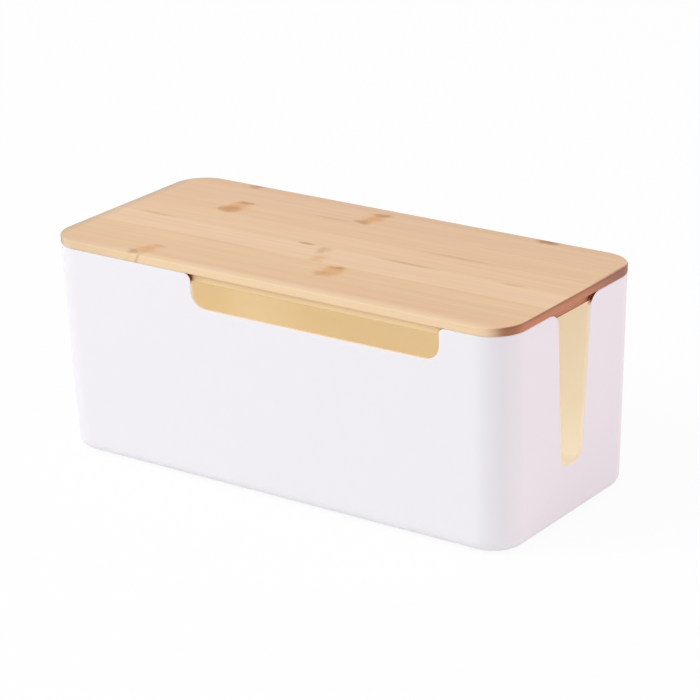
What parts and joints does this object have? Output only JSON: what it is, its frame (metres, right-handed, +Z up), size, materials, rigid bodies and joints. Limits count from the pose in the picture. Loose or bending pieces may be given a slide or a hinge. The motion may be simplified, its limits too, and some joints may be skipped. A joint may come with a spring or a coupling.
{
  "type": "cable management box",
  "caption": "Long drafted plastic box with a lift-off bamboo lid, a wide cable slot in the front wall and a tall narrow one in each end wall, on rubber feet.",
  "frame": {"origin": "on the surface the box stands on, under the middle of its length and width", "axes": "+X along the length, to the right seen from the front; -Y is the front, the long side with the wide cable slot; +Z up, the way the lid lifts"},
  "size_m": [0.32, 0.1436, 0.1351],
  "materials": {
    "shell_plastic": "white polypropylene, injection moulded, satin",
    "bamboo": "glued bamboo strips, sanded, clear matt lacquer",
    "foot_rubber": "pale grey silicone rubber, moulded, matt"
  },
  "bodies": {
    "body": {"body_shell": "shell_plastic", "foot_front_left": "foot_rubber", "foot_front_right": "foot_rubber", "foot_back_left": "foot_rubber", "foot_back_right": "foot_rubber"},
    "lid": {"lid_top_strip_1": "bamboo", "lid_top_strip_2": "bamboo", "lid_top_strip_3": "bamboo", "lid_top_strip_4": "bamboo", "lid_top_strip_5": "bamboo", "lid_top_strip_6": "bamboo", "lid_top_strip_7": "bamboo", "lid_under_strip_1": "bamboo", "lid_under_strip_2": "bamboo", "lid_under_strip_3": "bamboo", "lid_under_strip_4": "bamboo", "lid_under_strip_5": "bamboo", "lid_under_strip_6": "bamboo", "lid_under_strip_7": "bamboo"}
  },
  "joints": [
    {"name": "lid_lift", "type": "slide", "parent": "body", "child": "lid", "axis": [0, 0, 1], "range_m": [0, 0.12]}
  ]
}
